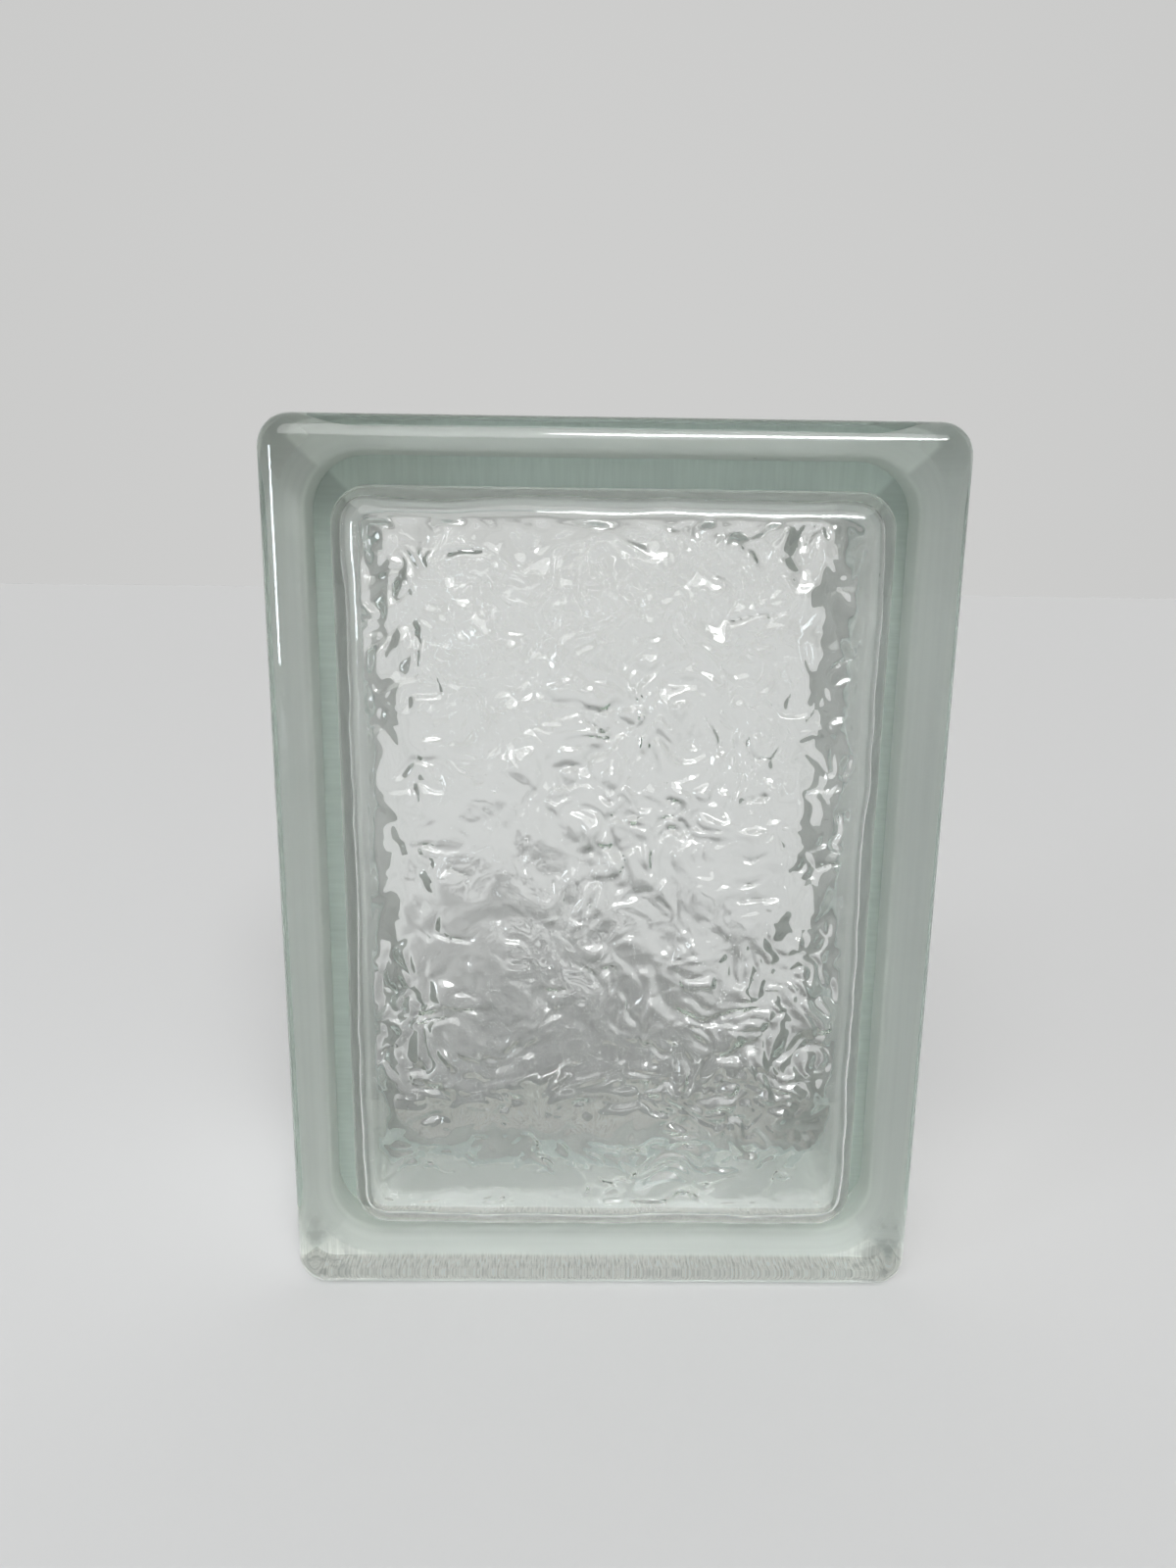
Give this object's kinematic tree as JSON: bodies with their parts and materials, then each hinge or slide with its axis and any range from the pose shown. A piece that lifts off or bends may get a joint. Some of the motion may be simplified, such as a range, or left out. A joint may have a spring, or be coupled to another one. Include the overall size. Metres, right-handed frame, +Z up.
{
  "type": "hollow glass block",
  "caption": "Hollow clear glass block with an ice-patterned interior and mortar keys round its edges, for window and partition walls.",
  "frame": {"origin": "centre of the underside, on the surface the block stands on", "axes": "+Z up along the height, +X along the width, +Y along the thickness; the front face looks towards -Y"},
  "size_m": [0.146, 0.098, 0.197],
  "materials": {
    "glass": "clear pressed glass with a faint green tint, wavy inside, under a thin grey-green satin coating on the side walls and rims"
  },
  "bodies": {
    "root": {"front_half_shell": "glass", "back_half_shell": "glass"}
  },
  "joints": []
}
